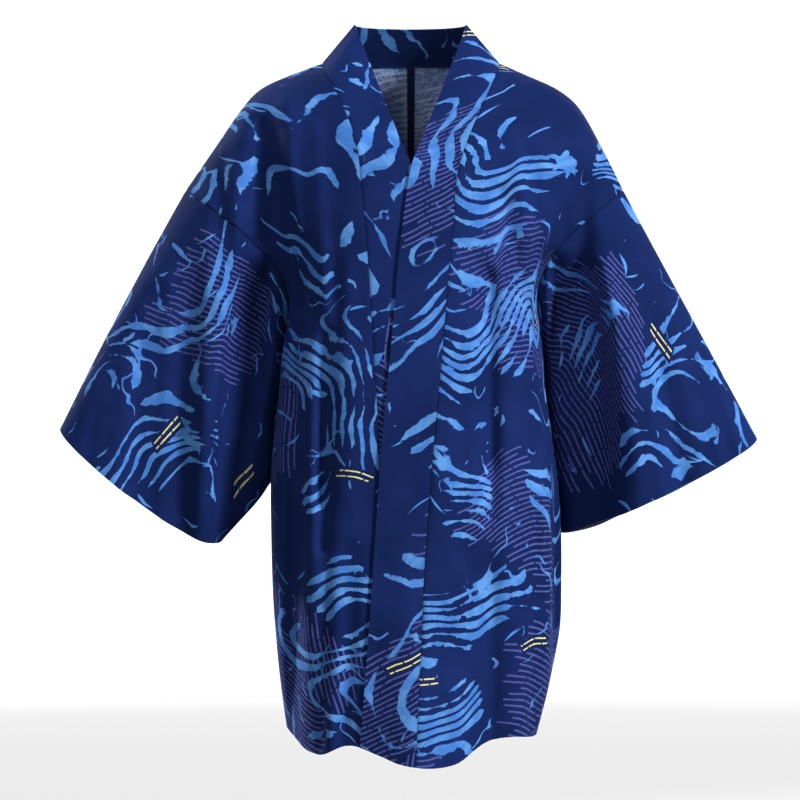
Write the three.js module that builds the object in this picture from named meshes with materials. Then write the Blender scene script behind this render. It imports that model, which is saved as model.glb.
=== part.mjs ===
// A haori: a short kimono-style jacket in printed cotton, hollow, as it hangs on a standing figure.
// Each body panel is one length of cloth from the front hem over the shoulder to the back hem. The
// sleeves are wide and straight, and a folded band runs from one front hem round the neck to the other.
//
// Millimetres, +Z up. The origin is between the shoulders, where the wearer holds the jacket up.
// -Y is the front, and +X is the wearer's left. The left front lies over the right one.
import * as THREE from "three";

// Walls and seams
const CLOTH = 1.2; // body and sleeves
const FOLDED_BAND = 2.4; // the neck band, two layers of cloth
const TURNED_HEM = 2.4; // the hems, where the cloth is turned up
const HEM_DEPTH = 20;
const SEAM_GAP = 0.4;
const MOST_MITRE = 0.5; // the wall is carried at most twice its thickness into a sharp seam
const OVERLAP_LIFT = 3.8; // how far the left front lies outside the right one
const SEAM_STRIP = { width: 9, thickness: 0.8, gap: 0.6, above_hem: 2, below_neck: 9 };
const CUFF_DISTANCE = 323; // from the armhole to the cuff along the top fold

// Heights
const ARMPIT = -310;
const HEM = -830; // nominal, see HEMLINE

// How finely the sheets are divided
const FRONT_COLUMNS = 13;
const NECK_COLUMNS = 5;
const BODY_ROWS = 12;
const SHOULDER_ROWS = 11; // and a sleeve has twice as many round it
const BAND_COLUMNS = 4;
const SLEEVE_ROWS = 10;

// The body by height: half widths at the side seams, and depths at the centres, of a rounded oblong.
const ROUNDNESS = 2.3;
const TORSO = [
  { z: -830, left: 150.5, right: 149, front: 122, back: 122 },
  { z: -766, left: 166, right: 157, front: 122, back: 121 },
  { z: -700, left: 178.5, right: 163, front: 121, back: 119 },
  { z: -650, left: 180.5, right: 166, front: 121, back: 118 },
  { z: -562, left: 180, right: 168, front: 120, back: 114 },
  { z: -510, left: 176, right: 168, front: 119, back: 110 },
  { z: -454, left: 169, right: 164, front: 119, back: 106 },
  { z: -400, left: 161, right: 158, front: 118, back: 103 },
  { z: -340, left: 155, right: 151, front: 116, back: 102 },
  { z: -310, left: 153, right: 148, front: 114, back: 102 },
  { z: -190, left: 153, right: 148, front: 108, back: 102 },
  { z: -133, left: 153, right: 148, front: 103, back: 102 },
];

// The hem's height round the body, by angle: 0 at the centre front, 90 at the left side.
const HEMLINE = [
  { angle: -180, z: -812 },
  { angle: -135, z: -816 },
  { angle: -90, z: -797 },
  { angle: -72, z: -802 },
  { angle: -55, z: -815 },
  { angle: -42, z: -818 },
  { angle: -25, z: -807 },
  { angle: -11, z: -818 },
  { angle: -4, z: -826 },
  { angle: 6, z: -831 },
  { angle: 17, z: -827 },
  { angle: 32, z: -806 },
  { angle: 50, z: -800 },
  { angle: 70, z: -804 },
  { angle: 90, z: -805 },
  { angle: 135, z: -816 },
  { angle: 180, z: -812 },
];

// The fold of cloth along the shoulder and upper arm, from the neck band (u 0) to the sleeve seam (u 1).
const SHOULDER = [
  { u: 0, left: 106.5, leftZ: -2, right: 107, rightZ: -2 },
  { u: 0.16, left: 136, leftZ: -15, right: 142, rightZ: -15 },
  { u: 0.35, left: 177, leftZ: -34, right: 179, rightZ: -32 },
  { u: 0.5, left: 202, leftZ: -56, right: 201, rightZ: -54 },
  { u: 0.74, left: 230, leftZ: -105, right: 237, rightZ: -106 },
  { u: 1, left: 254.5, leftZ: -154, right: 270, rightZ: -154 },
];

// How the cloth leaves the armpit level (lower) and reaches the shoulder fold (upper), as the offsets of
// a Bezier curve's two inner points. Out is away from the centre line and fore is away from the wearer.
const ARMHOLE = { lowerOut: -24, lowerFore: 56, lowerUp: 70, upperOut: -30, upperFore: 80, upperUp: -30 };
const FRONT_DRAPE = [
  { u: 0, lowerOut: 8, lowerFore: -4, lowerUp: 110, upperOut: 0, upperFore: 50, upperUp: 0 },
  { u: 0.35, lowerOut: 6, lowerFore: 0, lowerUp: 108, upperOut: -8, upperFore: 64, upperUp: 0 },
  { u: 0.7, lowerOut: -6, lowerFore: 16, lowerUp: 88, upperOut: -12, upperFore: 74, upperUp: -8 },
  { u: 1, ...ARMHOLE },
];
const BACK_DRAPE = [
  { u: 0, lowerOut: 0, lowerFore: 10, lowerUp: 120, upperOut: 0, upperFore: 26, upperUp: -56 },
  { u: 0.3, lowerOut: 2, lowerFore: 10, lowerUp: 116, upperOut: 0, upperFore: 56, upperUp: -10 },
  { u: 0.6, lowerOut: 0, lowerFore: 14, lowerUp: 100, upperOut: -8, upperFore: 68, upperUp: -2 },
  { u: 1, ...ARMHOLE },
];
const NECK_SHARE = 0.3; // the share of a back panel's top that runs along the neck

// The neck band by the height of its outer seam, as x towards the wearer's left. Where seamY and edgeY are
// left out it lies flat on the chest. The left front's edge is the free one that shows.
const BAND = [
  { z: -830, seamLeft: 5, seamRight: -47, edgeLeft: -60, edgeRight: 11, edgeZ: -830 },
  { z: -694, seamLeft: 11, seamRight: -42, edgeLeft: -50, edgeRight: 16, edgeZ: -694 },
  { z: -586, seamLeft: 16, seamRight: -39, edgeLeft: -43, edgeRight: 19, edgeZ: -586 },
  { z: -454, seamLeft: 26, seamRight: -38, edgeLeft: -34, edgeRight: 20, edgeZ: -454 },
  { z: -340, seamLeft: 37, seamRight: -45, edgeLeft: -23, edgeRight: 13, edgeZ: -338 },
  { z: -250, seamLeft: 44, seamRight: -50, edgeLeft: -15, edgeRight: 8, edgeZ: -244 },
  { z: -190, seamLeft: 50, seamRight: -55, edgeLeft: -7, edgeRight: 4, edgeZ: -176 },
  { z: -152, seamLeft: 52, seamRight: -59, edgeLeft: 0, edgeRight: 0, edgeZ: -133, seamY: -100, edgeY: -102 },
  { z: -118, seamLeft: 60, seamRight: -62, edgeLeft: 11, edgeRight: -11, edgeZ: -104, seamY: -94, edgeY: -84 },
  { z: -88, seamLeft: 71, seamRight: -69, edgeLeft: 24, edgeRight: -24, edgeZ: -70, seamY: -84, edgeY: -64 },
  { z: -58, seamLeft: 84, seamRight: -81, edgeLeft: 37, edgeRight: -37, edgeZ: -36, seamY: -67, edgeY: -43 },
  { z: -32, seamLeft: 95, seamRight: -93, edgeLeft: 50, edgeRight: -50, edgeZ: -1, seamY: -46, edgeY: -23 },
  { z: -14, seamLeft: 103, seamRight: -102, edgeLeft: 61, edgeRight: -62, edgeZ: 29, seamY: -24, edgeY: -6 },
  { z: -2, seamLeft: 106.5, seamRight: -107, edgeLeft: 67, edgeRight: -68, edgeZ: 46, seamY: 0, edgeY: 10 },
];
const CROSSING = -152; // the seam's height beside the point of the V
const BACK_NECK = { seamY: 84, seamZ: 5, edgeY: 54, edgeZ: 46 }; // at the centre back

// Half rings of a sleeve from its lower seam to its top fold, from the armhole (s 0) to the cuff (s 1).
// Out is the distance from the centre line, and seamBack is how far the lower seam lies towards the back.
// The other columns are as in the drape tables; backUp raises the back half's two inner points.
const SLEEVE = {
  right: [
    { s: 0, topOut: 270, topZ: -154, seamOut: 148, seamBack: 0, seamZ: -310, ...ARMHOLE, backUp: 0 },
    { s: 0.12, topOut: 288, topZ: -186, seamOut: 154.6, seamBack: 28, seamZ: -356, lowerOut: 2, lowerFore: 46, lowerUp: 30, upperOut: -26, upperFore: 78, upperUp: -26, backUp: 0 },
    { s: 0.33, topOut: 320, topZ: -244, seamOut: 157.5, seamBack: 42, seamZ: -428, lowerOut: 8, lowerFore: 40, lowerUp: 4, upperOut: -16, upperFore: 76, upperUp: -22, backUp: 0 },
    { s: 0.67, topOut: 373, topZ: -344, seamOut: 170, seamBack: 40, seamZ: -505, lowerOut: 16, lowerFore: 40, lowerUp: -18, upperOut: -8, upperFore: 68, upperUp: -18, backUp: 0 },
    { s: 1, topOut: 421, topZ: -440, seamOut: 227, seamBack: 8, seamZ: -575, lowerOut: 22, lowerFore: 44, lowerUp: -22, upperOut: 0, upperFore: 62, upperUp: -16, backUp: 4 },
  ],
  left: [
    { s: 0, topOut: 254.5, topZ: -154, seamOut: 153, seamBack: 0, seamZ: -310, ...ARMHOLE, backUp: 0 },
    { s: 0.12, topOut: 274, topZ: -191, seamOut: 160.8, seamBack: 28, seamZ: -358, lowerOut: 2, lowerFore: 46, lowerUp: 30, upperOut: -26, upperFore: 78, upperUp: -26, backUp: 0 },
    { s: 0.33, topOut: 307, topZ: -252, seamOut: 161.5, seamBack: 42, seamZ: -436, lowerOut: 8, lowerFore: 40, lowerUp: 4, upperOut: -16, upperFore: 76, upperUp: -22, backUp: 0 },
    { s: 0.67, topOut: 361, topZ: -351, seamOut: 175, seamBack: 40, seamZ: -516, lowerOut: 14, lowerFore: 40, lowerUp: -8, upperOut: -8, upperFore: 68, upperUp: -14, backUp: -5 },
    { s: 1, topOut: 415, topZ: -451, seamOut: 180, seamBack: 20, seamZ: -565, lowerOut: 30, lowerFore: 46, lowerUp: 0, upperOut: 0, upperFore: 62, upperUp: -17, backUp: -10 },
  ],
};

// The largest folds, each along a line across the front or the back: a ridge stands out by top and foot
// millimetres at its two ends, a trough has them negative, and spread is its half width.
const FOLDS = [
  { face: "front", x0: -136, z0: -400, x1: -137, z1: -810, spread: 17, top: -5, foot: -16 },
  { face: "front", x0: -102, z0: -540, x1: -105, z1: -830, spread: 26, top: 4, foot: 13 },
  { face: "front", x0: -98, z0: -340, x1: -101, z1: -520, spread: 13, top: -5, foot: -9 },
  { face: "front", x0: -68, z0: -370, x1: -70, z1: -560, spread: 15, top: 4, foot: 5 },
  { face: "front", x0: 0, z0: -620, x1: 6, z1: -835, spread: 34, top: 2, foot: 13 },
  { face: "front", x0: 88, z0: -250, x1: 92, z1: -480, spread: 15, top: -6, foot: -9 },
  { face: "front", x0: 92, z0: -620, x1: 93, z1: -815, spread: 24, top: -3, foot: -14 },
  { face: "front", x0: 130, z0: -330, x1: 134, z1: -520, spread: 16, top: 5, foot: 5 },
  { face: "front", x0: 130, z0: -620, x1: 128, z1: -806, spread: 20, top: 4, foot: 8 },
  { face: "front", x0: -148, z0: -60, x1: -140, z1: -200, spread: 18, top: 6, foot: 6 },
  { face: "front", x0: -178, z0: -80, x1: -164, z1: -250, spread: 18, top: -5, foot: -9 },
  { face: "front", x0: 160, z0: -80, x1: 148, z1: -210, spread: 18, top: 4, foot: 5 },
  { face: "front", x0: 186, z0: -90, x1: 172, z1: -250, spread: 18, top: -6, foot: -10 },
  { face: "front", x0: 103, z0: -166, x1: 128, z1: -280, spread: 18, top: -3, foot: -5 },
  { face: "front", x0: -235, z0: -230, x1: -238, z1: -570, spread: 26, top: 7, foot: 11 },
  { face: "front", x0: -190, z0: -280, x1: -194, z1: -540, spread: 21, top: -10, foot: -14 },
  { face: "front", x0: -300, z0: -300, x1: -312, z1: -530, spread: 24, top: -3, foot: -6 },
  { face: "front", x0: 236, z0: -205, x1: 284, z1: -530, spread: 26, top: 7, foot: 10 },
  { face: "front", x0: 194, z0: -270, x1: 212, z1: -550, spread: 21, top: -10, foot: -14 },
  { face: "front", x0: 330, z0: -320, x1: 352, z1: -500, spread: 24, top: -3, foot: -6 },
  { face: "back", x0: 0, z0: -430, x1: 0, z1: -815, spread: 26, top: -3, foot: -11 },
  { face: "back", x0: -62, z0: -420, x1: -66, z1: -815, spread: 26, top: 3, foot: 13 },
  { face: "back", x0: 60, z0: -440, x1: 64, z1: -815, spread: 26, top: 3, foot: 12 },
  { face: "back", x0: -118, z0: -360, x1: -120, z1: -815, spread: 18, top: -4, foot: -13 },
  { face: "back", x0: 116, z0: -380, x1: 122, z1: -815, spread: 18, top: -4, foot: -13 },
  { face: "back", x0: -96, z0: -130, x1: -134, z1: -290, spread: 15, top: -3, foot: -8 },
  { face: "back", x0: 92, z0: -140, x1: 132, z1: -290, spread: 15, top: -3, foot: -8 },
  { face: "back", x0: -176, z0: -110, x1: -168, z1: -250, spread: 14, top: -5, foot: -9 },
  { face: "back", x0: 182, z0: -110, x1: 174, z1: -250, spread: 14, top: -5, foot: -9 },
  { face: "back", x0: -244, z0: -240, x1: -256, z1: -560, spread: 27, top: 6, foot: 11 },
  { face: "back", x0: -196, z0: -290, x1: -204, z1: -540, spread: 20, top: -8, foot: -12 },
  { face: "back", x0: 240, z0: -230, x1: 268, z1: -540, spread: 27, top: 6, foot: 11 },
  { face: "back", x0: 196, z0: -280, x1: 214, z1: -540, spread: 20, top: -8, foot: -12 },
];
const FOLD_FADE = 36; // folds die away within this distance of the side seams and top folds

// ---- Small tools ----

const V = (x, y, z) => new THREE.Vector3(x, y, z);
const mix = THREE.MathUtils.lerp;
const smooth = (t) => THREE.MathUtils.smoothstep(t, 0, 1);
const steps = (count) => Array.from({ length: count + 1 }, (_, i) => i / count);

// One column of a table at a value of its key column, on a smooth curve through the rows.
function column(table, key, name, at) {
  const last = table.length - 1;
  const i = Math.min(last - 1, Math.max(0, table.findIndex((row) => row[key] >= at) - 1));
  const k = at >= table[last][key] ? last - 1 : i;
  const slope = (a, b) => (table[b][name] - table[a][name]) / (table[b][key] - table[a][key]);
  const tangent = (j) => slope(Math.max(0, j - 1), Math.min(last, j + 1));
  const span = table[k + 1][key] - table[k][key];
  const t = THREE.MathUtils.clamp((at - table[k][key]) / span, 0, 1);
  const [t2, t3] = [t * t, t * t * t];
  return (
    (2 * t3 - 3 * t2 + 1) * table[k][name] +
    (t3 - 2 * t2 + t) * span * tangent(k) +
    (3 * t2 - 2 * t3) * table[k + 1][name] +
    (t3 - t2) * span * tangent(k + 1)
  );
}

// How far a point's cloth stands out at the folds of one face.
function foldHeight(face, x, z) {
  let height = 0;
  for (const f of FOLDS) {
    if (f.face !== face) continue;
    const [dx, dz] = [f.x1 - f.x0, f.z1 - f.z0];
    const t = THREE.MathUtils.clamp(((x - f.x0) * dx + (z - f.z0) * dz) / (dx * dx + dz * dz), 0, 1);
    const distance = Math.hypot(x - f.x0 - t * dx, z - f.z0 - t * dz);
    height += mix(f.top, f.foot, t) * Math.exp(-((distance / f.spread) ** 2));
  }
  return height;
}

// A point with the folds of its face added.
function folded(p) {
  const face = p.y < 0 ? "front" : "back";
  const outward = Math.sign(p.y) * foldHeight(face, p.x, p.z) * smooth(Math.abs(p.y) / FOLD_FADE);
  return V(p.x, p.y + outward, p.z);
}

// ---- The body's own form ----

const halfWidth = (x, z) => column(TORSO, "z", x >= 0 ? "left" : "right", z);
const angleOf = (x, z) => Math.asin(Math.min(1, Math.abs(x) / halfWidth(x, z)) ** (ROUNDNESS / 2)) * Math.sign(x);
const hemAt = (angle) => column(HEMLINE, "angle", "z", THREE.MathUtils.radToDeg(angle));

// A point of the torso at an angle from the centre front and a nominal height, moved out by lift.
function torso(angle, z, lift = 0) {
  const [sin, cos] = [Math.sin(angle), Math.cos(angle)];
  const width = halfWidth(sin, z);
  const depth = column(TORSO, "z", cos >= 0 ? "front" : "back", z);
  const power = 2 / ROUNDNESS;
  const height = z >= ARMPIT ? z : mix(ARMPIT, hemAt(angle), (ARMPIT - z) / (ARMPIT - HEM));
  return V(
    Math.sign(sin) * width * Math.abs(sin) ** power,
    -Math.sign(cos) * (depth * Math.abs(cos) ** power + lift * Math.abs(cos)),
    height,
  );
}

// The left front lies outside the right one near the centre, below the crossing of the bands.
const overlapLift = (side, z, u = 0) =>
  side > 0 ? OVERLAP_LIFT * smooth((-45 - z) / 60) * (1 - smooth(u / 0.6)) : 0;

// A point of the neck band at a nominal height: across is 0 at its outer seam and 1 at its inner edge.
// side is 1 on the wearer's left and -1 on the right.
function bandPoint(side, z, across) {
  const get = (name) => column(BAND, "z", name, z);
  const [seamX, edgeX] = side > 0 ? [get("seamLeft"), get("edgeLeft")] : [get("seamRight"), get("edgeRight")];
  const x = mix(seamX, edgeX, across);
  const height = mix(z, get("edgeZ"), across);
  const lift = overlapLift(side, z);
  const flat = torso(angleOf(x, height), height, lift);
  if (z <= CROSSING) return V(x, flat.y, flat.z);
  const rising = BAND.filter((row) => row.seamY !== undefined);
  const y = mix(column(rising, "z", "seamY", z), column(rising, "z", "edgeY", z), across) - lift;
  return V(x, mix(flat.y, y, smooth((z - CROSSING) / 30)), height);
}

// The back neck from the shoulder (turn 0) to the centre back (turn 1), across as for the band.
function backNeck(side, turn, across) {
  const start = bandPoint(side, BAND.at(-1).z, across);
  const [sin, cos] = [Math.sin((turn * Math.PI) / 2), Math.cos((turn * Math.PI) / 2)];
  const y = mix(start.y, mix(BACK_NECK.seamY, BACK_NECK.edgeY, across), sin ** 0.9);
  const z = mix(start.z, mix(BACK_NECK.seamZ, BACK_NECK.edgeZ, across), sin ** 2);
  return V(start.x * cos ** 0.9, y, z);
}

const shoulderFold = (side, u) => {
  const name = side > 0 ? "left" : "right";
  return V(side * column(SHOULDER, "u", name, u), 0, column(SHOULDER, "u", name + "Z", u));
};

// A Bezier curve between two points, with the inner points that a row of a drape table gives.
function rise(side, faceSign, table, key, at, from, to, t, root = from, up = 0) {
  const get = (name) => column(table, key, name, at);
  const lower = V(side * get("lowerOut"), faceSign * get("lowerFore"), get("lowerUp") + up).add(root);
  const upper = V(side * get("upperOut"), faceSign * get("upperFore"), get("upperUp") + up).add(to);
  return new THREE.CubicBezierCurve3(from, lower, upper, to).getPoint(t);
}

// Where the front's edge would be above the armpit without the neck band, and the height it shares.
function plainEdge(side, t) {
  const angle = angleOf(bandPoint(side, ARMPIT, 0).x, ARMPIT);
  const foot = torso(angle, ARMPIT, overlapLift(side, ARMPIT));
  return rise(side, -1, FRONT_DRAPE, "u", 0, foot, shoulderFold(side, 0), t);
}

// The front above the armpits: u runs from the band's seam to the armhole, t from the armpit level up.
function upperFront(side, u, t) {
  const angle = mix(angleOf(bandPoint(side, ARMPIT, 0).x, ARMPIT), (side * Math.PI) / 2, u);
  const foot = torso(angle, ARMPIT, overlapLift(side, ARMPIT, u));
  const p = rise(side, -1, FRONT_DRAPE, "u", u, foot, shoulderFold(side, u), t);
  const edge = plainEdge(side, t);
  return p.addScaledVector(bandPoint(side, edge.z, 0).sub(edge), (1 - u) ** 2);
}

// The back above the armpits: u runs from the centre back to the armhole.
function upperBack(side, u, t) {
  const foot = torso(side * mix(Math.PI, Math.PI / 2, u), ARMPIT);
  const onNeck = u < NECK_SHARE;
  const top = onNeck
    ? backNeck(side, 1 - u / NECK_SHARE, 0)
    : shoulderFold(side, (u - NECK_SHARE) / (1 - NECK_SHARE));
  return rise(side, 1, BACK_DRAPE, "u", u, foot, top, t);
}

// ---- The sheets of each piece: rows of points on its outer face ----

const WHOLE = steps(FRONT_COLUMNS);
const BACK_COLUMNS = [
  ...steps(NECK_COLUMNS).slice(0, -1).map((t) => t * NECK_SHARE),
  ...WHOLE.map((t) => mix(NECK_SHARE, 1, t)),
];

// Nominal heights from the hem to below the armpit. The first two rows are the turned hem.
const LOWER_HEIGHTS = [
  HEM,
  HEM + HEM_DEPTH,
  HEM + HEM_DEPTH + 3,
  ...steps(BODY_ROWS).slice(1, -1).map((t) => mix(HEM + HEM_DEPTH, ARMPIT, t)),
];
const hemmed = (row) => (row < 2 ? TURNED_HEM : CLOTH);

// One body panel, from the front hem over the shoulder to the back hem.
function bodyPanel(side) {
  const front = LOWER_HEIGHTS.map((z) => {
    const seamAngle = angleOf(bandPoint(side, z, 0).x, z);
    return WHOLE.map((u) => torso(mix(seamAngle, (side * Math.PI) / 2, u), z, overlapLift(side, z, u)));
  });
  const back = LOWER_HEIGHTS.map((z) => BACK_COLUMNS.map((u) => torso(side * mix(Math.PI, Math.PI / 2, u), z)));
  for (const t of steps(SHOULDER_ROWS)) {
    front.push(WHOLE.map((u) => upperFront(side, u, t)));
    back.push(BACK_COLUMNS.map((u) => upperBack(side, u, t)));
  }
  return [
    { rows: front, flip: side < 0, thickness: hemmed },
    { rows: back, flip: side > 0, thickness: hemmed },
  ];
}

// A sleeve, from the armhole to the cuff. The last two rows are the turned hem.
function sleeve(side) {
  const table = side > 0 ? SLEEVE.left : SLEEVE.right;
  const ring = (s) => {
    const get = (name) => column(table, "s", name, s);
    const seam = V(side * get("seamOut"), get("seamBack"), get("seamZ"));
    const top = V(side * get("topOut"), 0, get("topZ"));
    const root = V(seam.x, 0, seam.z);
    const point = (faceSign) => (t) =>
      rise(side, faceSign, table, "s", s, seam, top, t, root, faceSign > 0 ? get("backUp") : 0);
    const halves = steps(SHOULDER_ROWS);
    return [...halves.map(point(-1)), ...halves.slice(0, -1).reverse().map(point(1))];
  };
  const turned = 1 - HEM_DEPTH / CUFF_DISTANCE;
  const rows = [...steps(SLEEVE_ROWS).map((t) => t * (turned - 0.01)), turned, 1].map(ring);
  return [{ rows, flip: side > 0, thickness: (row) => (row > SLEEVE_ROWS ? TURNED_HEM : CLOTH) }];
}

// The neck band, from the right front's hem round the neck to the left front's hem.
function neckBand() {
  const half = (side) => {
    const heights = [...LOWER_HEIGHTS, ...steps(SHOULDER_ROWS).map((t) => plainEdge(side, t).z)];
    return [
      ...heights.map((z) => steps(BAND_COLUMNS).map((across) => bandPoint(side, z, across))),
      ...steps(NECK_COLUMNS).slice(1).map((turn) => steps(BAND_COLUMNS).map((across) => backNeck(side, turn, across))),
    ];
  };
  const rows = [...half(-1), ...half(1).reverse().slice(1)];
  return [{ rows, flip: false, thickness: () => FOLDED_BAND }];
}

// The pressed seam allowance inside the centre back.
function backSeamStrip() {
  const line = [
    ...LOWER_HEIGHTS.slice(2).map((z) => torso(Math.PI, z)),
    ...steps(SHOULDER_ROWS).map((t) => upperBack(1, 0, t)),
  ].map(folded);
  const rows = line.map((p, i) => {
    const along = line[Math.min(line.length - 1, i + 1)].clone().sub(line[Math.max(0, i - 1)]).normalize();
    const middle = p.clone().addScaledVector(V(0, -along.z, along.y), CLOTH + SEAM_STRIP.gap);
    if (i === 0) middle.addScaledVector(along, SEAM_STRIP.above_hem);
    if (i === line.length - 1) middle.addScaledVector(along, -SEAM_STRIP.below_neck);
    return [-0.5, 0.5].map((k) => V(k * SEAM_STRIP.width, middle.y, middle.z));
  });
  return [{ rows, flip: true, thickness: () => SEAM_STRIP.thickness }];
}

// ---- Sewing ----

// The edges of a set of triangles that have no triangle on their other side.
function openEdges(faces) {
  const edges = new Map();
  for (const [a, b, c] of faces) {
    for (const [from, to] of [[a, b], [b, c], [c, a]]) edges.set(from + "," + to, [from, to]);
  }
  return [...edges.values()].filter(([from, to]) => !edges.has(to + "," + from));
}

// Numbers the points of all the pieces' sheets. Points in one place have one number, so pieces that are
// sewn together agree on the line of their seam and on the way the cloth faces there.
function weld(pieces) {
  const points = [];
  const found = new Map();
  for (const piece of pieces) {
    piece.faces = [];
    piece.thickness = new Map();
    for (const { rows, flip, thickness } of piece.sheets) {
      const numbers = rows.map((row, r) =>
        row.map((p) => {
          const key = p.toArray().map((c) => Math.round(c * 50)).join();
          if (!found.has(key)) found.set(key, points.push(p) - 1);
          const number = found.get(key);
          piece.thickness.set(number, thickness(r));
          return number;
        }),
      );
      for (let r = 0; r + 1 < rows.length; r += 1) {
        for (let c = 0; c + 1 < rows[r].length; c += 1) {
          const [a, b] = [numbers[r][c], numbers[r][c + 1]];
          const [d, e] = [numbers[r + 1][c], numbers[r + 1][c + 1]];
          for (const face of [[a, b, e], [a, e, d]]) {
            if (new Set(face).size === 3) piece.faces.push(flip ? [...face].reverse() : face);
          }
        }
      }
    }
  }
  const normals = points.map(() => V(0, 0, 0));
  for (const piece of pieces) {
    piece.facing = new Map([...piece.thickness.keys()].map((number) => [number, V(0, 0, 0)]));
    for (const [a, b, c] of piece.faces) {
      const normal = points[b].clone().sub(points[a]).cross(points[c].clone().sub(points[a]));
      for (const i of [a, b, c]) piece.facing.get(i).add(normal);
    }
    for (const [number, normal] of piece.facing) normals[number].add(normal.normalize());
  }
  normals.forEach((normal) => normal.normalize());
  return { points, normals };
}

// A closed wall from one piece's sheets: its outer face, an inner face, and a rim along every open edge.
// Along a seam with another piece it is drawn back by half the gap between them.
function wall(piece, pieces, { points, normals }) {
  const others = pieces.filter((other) => other !== piece);
  const shared = (i) => others.some((other) => other.thickness.has(i));
  const open = openEdges(piece.faces);
  const retreats = new Map();
  for (const [from, to] of open) {
    if (!shared(from) || !shared(to)) continue;
    const along = points[to].clone().sub(points[from]);
    for (const i of [from, to]) {
      const away = normals[i].clone().cross(along).normalize();
      retreats.set(i, [...(retreats.get(i) ?? []), away]);
    }
  }
  const numbers = [...piece.thickness.keys()];
  const place = new Map(numbers.map((number, i) => [number, i]));
  const outer = numbers.map((number) => {
    const p = points[number].clone();
    const [first, second] = retreats.get(number) ?? [];
    if (!first) return p;
    if (!second) return p.addScaledVector(first, SEAM_GAP / 2);
    return p.addScaledVector(first.clone().add(second), SEAM_GAP / 2 / (1 + first.dot(second)));
  });
  const inner = outer.map((p, i) => {
    const number = numbers[i];
    const leaning = Math.max(MOST_MITRE, normals[number].dot(piece.facing.get(number)));
    return p.clone().addScaledVector(normals[number], -piece.thickness.get(number) / leaning);
  });
  const count = outer.length;
  const faces = piece.faces.map((face) => face.map((number) => place.get(number)));
  const triangles = [...faces, ...faces.map(([a, b, c]) => [c + count, b + count, a + count])];
  for (const edge of open) {
    // The rims of two pieces at a seam are split the same way, so that they stay side by side.
    const [from, to] = edge.map((number) => place.get(number));
    if (edge[0] < edge[1]) triangles.push([to, from, to + count], [from, from + count, to + count]);
    else triangles.push([to, from, from + count], [to, from + count, to + count]);
  }
  const geometry = new THREE.BufferGeometry();
  const positions = [...outer, ...inner].flatMap((p) => p.toArray());
  geometry.setAttribute("position", new THREE.Float32BufferAttribute(positions, 3));
  geometry.setIndex(triangles.flat());
  geometry.computeVertexNormals();
  return geometry;
}

// ---- The jacket ----

const printedCotton = new THREE.MeshStandardMaterial({ name: "printed_cotton", color: 0x24305f, roughness: 0.82 });
const bandCotton = new THREE.MeshStandardMaterial({ name: "band_cotton", color: 0x26356a, roughness: 0.8 });
const seamCotton = new THREE.MeshStandardMaterial({ name: "seam_cotton", color: 0x10183a, roughness: 0.9 });

const pieces = [
  { name: "body_right", sheets: bodyPanel(-1), material: printedCotton },
  { name: "body_left", sheets: bodyPanel(1), material: printedCotton },
  { name: "sleeve_right", sheets: sleeve(-1), material: printedCotton },
  { name: "sleeve_left", sheets: sleeve(1), material: printedCotton },
  { name: "neck_band", sheets: neckBand(), material: bandCotton },
];
for (const sheet of pieces.flatMap((piece) => piece.sheets)) sheet.rows = sheet.rows.map((row) => row.map(folded));
pieces.push({ name: "back_seam_strip", sheets: backSeamStrip(), material: seamCotton });

const haori = new THREE.Group();
const net = weld(pieces);
for (const piece of pieces) {
  const mesh = new THREE.Mesh(wall(piece, pieces, net), piece.material);
  mesh.name = piece.name;
  haori.add(mesh);
}

export default haori;
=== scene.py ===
"""A worn, hollow haori in printed cotton: fine cloth shells on the frame's solids, with their creases.

Lengths are worked out in millimetres and stored in metres. +Z is up, -Y the front, +X the wearer's left.
"""

import math
from functools import partial

import bpy
import numpy as np
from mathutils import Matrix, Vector


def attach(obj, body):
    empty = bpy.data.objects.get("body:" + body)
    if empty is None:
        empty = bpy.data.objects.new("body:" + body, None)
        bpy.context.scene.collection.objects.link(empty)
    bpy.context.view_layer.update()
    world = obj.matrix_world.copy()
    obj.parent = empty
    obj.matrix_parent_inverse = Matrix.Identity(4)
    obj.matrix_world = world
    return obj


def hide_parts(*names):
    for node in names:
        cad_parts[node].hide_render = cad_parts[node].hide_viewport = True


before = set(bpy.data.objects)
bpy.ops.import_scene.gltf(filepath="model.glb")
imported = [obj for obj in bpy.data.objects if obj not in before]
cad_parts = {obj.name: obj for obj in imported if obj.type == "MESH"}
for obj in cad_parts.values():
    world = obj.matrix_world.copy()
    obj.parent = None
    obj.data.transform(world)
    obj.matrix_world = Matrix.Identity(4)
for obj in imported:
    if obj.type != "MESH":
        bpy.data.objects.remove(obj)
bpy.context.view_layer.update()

# ---------------------------------------------------------------------------------------------------
# The jacket's form: the same tables as the part's solids
# ---------------------------------------------------------------------------------------------------

OVERLAP_LIFT = 3.8
ARMPIT, HEM = -310.0, -830.0
HEM_DEPTH = 20.0
ROUNDNESS = 2.3
NECK_SHARE = 0.3
CROSSING = -152.0
BACK_NECK = dict(seamY=84, seamZ=5, edgeY=54, edgeZ=46)


def table(names, rows):
    """A table as a column of numbers for each name."""
    return dict(zip(names.split(), np.array(rows, float).T))


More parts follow.
